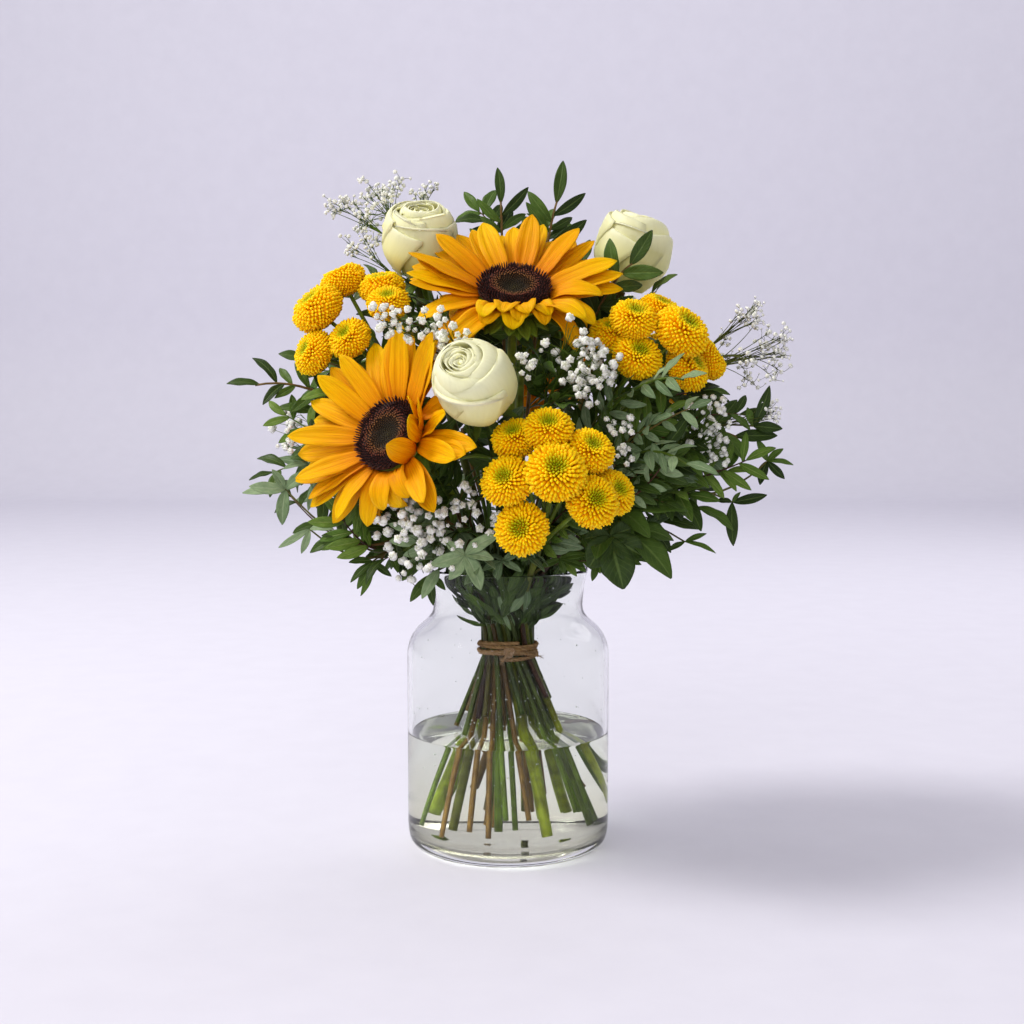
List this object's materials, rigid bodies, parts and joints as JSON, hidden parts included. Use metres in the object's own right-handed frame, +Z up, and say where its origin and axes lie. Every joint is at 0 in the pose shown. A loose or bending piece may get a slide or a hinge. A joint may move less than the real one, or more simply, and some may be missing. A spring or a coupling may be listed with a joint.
{
  "type": "vase of flowers",
  "caption": "Cut sunflowers, roses, button chrysanthemums, baby's breath and leafy stems, tied with twine and standing in a glass vase of water.",
  "frame": {"origin": "centre of the vase's base, on the surface it stands on", "axes": "+Z up; -Y is the side that the picture shows, and +X is to the right there"},
  "size_m": [0.38, 0.3014, 0.4736],
  "materials": {
    "vase_glass": "clear polished glass",
    "jute_twine": "twisted jute fibre",
    "water": null,
    "sunflower_petal": "satin petal, golden yellow, orange towards its root",
    "sunflower_disc": "matt dark brown florets",
    "rose_petal": "satin petal, creamy white",
    "chrysanthemum_petal": "matt petals, golden yellow",
    "gypsophila_white": "matt white florets on thin green stalks",
    "leaf_grey_green": "satin leaf, grey green",
    "leaf_green": "satin leaf, dark green",
    "flower_stem": "satin green stem"
  },
  "bodies": {
    "root": {"foliage_back_left": "leaf_green", "foliage_back_right": "leaf_green", "foliage_before_rose": "leaf_green", "foliage_grey_high": "leaf_grey_green", "foliage_grey_low": "leaf_grey_green", "foliage_left_broad": "leaf_grey_green", "foliage_left_high": "leaf_green", "foliage_left_low": "leaf_green", "foliage_left_mid": "leaf_green", "foliage_lobed": "leaf_green", "foliage_over_rim": "leaf_grey_green", "foliage_right_dark": "leaf_green", "foliage_right_low": "leaf_green", "foliage_top_left": "leaf_green", "foliage_top_right": "leaf_green", "glass_vase": "vase_glass", "gypsophila_back": "gypsophila_white", "gypsophila_lower_left": "gypsophila_white", "gypsophila_middle_left": "gypsophila_white", "gypsophila_middle_right": "gypsophila_white", "gypsophila_right": "gypsophila_white", "gypsophila_top_left": "gypsophila_white", "mum_back_heads": "chrysanthemum_petal", "mum_back_stem": "flower_stem", "mum_centre_heads": "chrysanthemum_petal", "mum_centre_stem": "flower_stem", "mum_left_heads": "chrysanthemum_petal", "mum_left_stem": "flower_stem", "mum_right_heads": "chrysanthemum_petal", "mum_right_stem": "flower_stem", "rose_centre_bloom": "rose_petal", "rose_centre_stem": "flower_stem", "rose_left_bloom": "rose_petal", "rose_left_stem": "flower_stem", "rose_right_bloom": "rose_petal", "rose_right_stem": "flower_stem", "sunflower_back_disc": "sunflower_disc", "sunflower_back_petals": "sunflower_petal", "sunflower_back_stem": "flower_stem", "sunflower_left_disc": "sunflower_disc", "sunflower_left_petals": "sunflower_petal", "sunflower_left_stem": "flower_stem", "sunflower_top_disc": "sunflower_disc", "sunflower_top_petals": "sunflower_petal", "sunflower_top_stem": "flower_stem", "twine_binding": "jute_twine", "water": "water"}
  },
  "joints": []
}
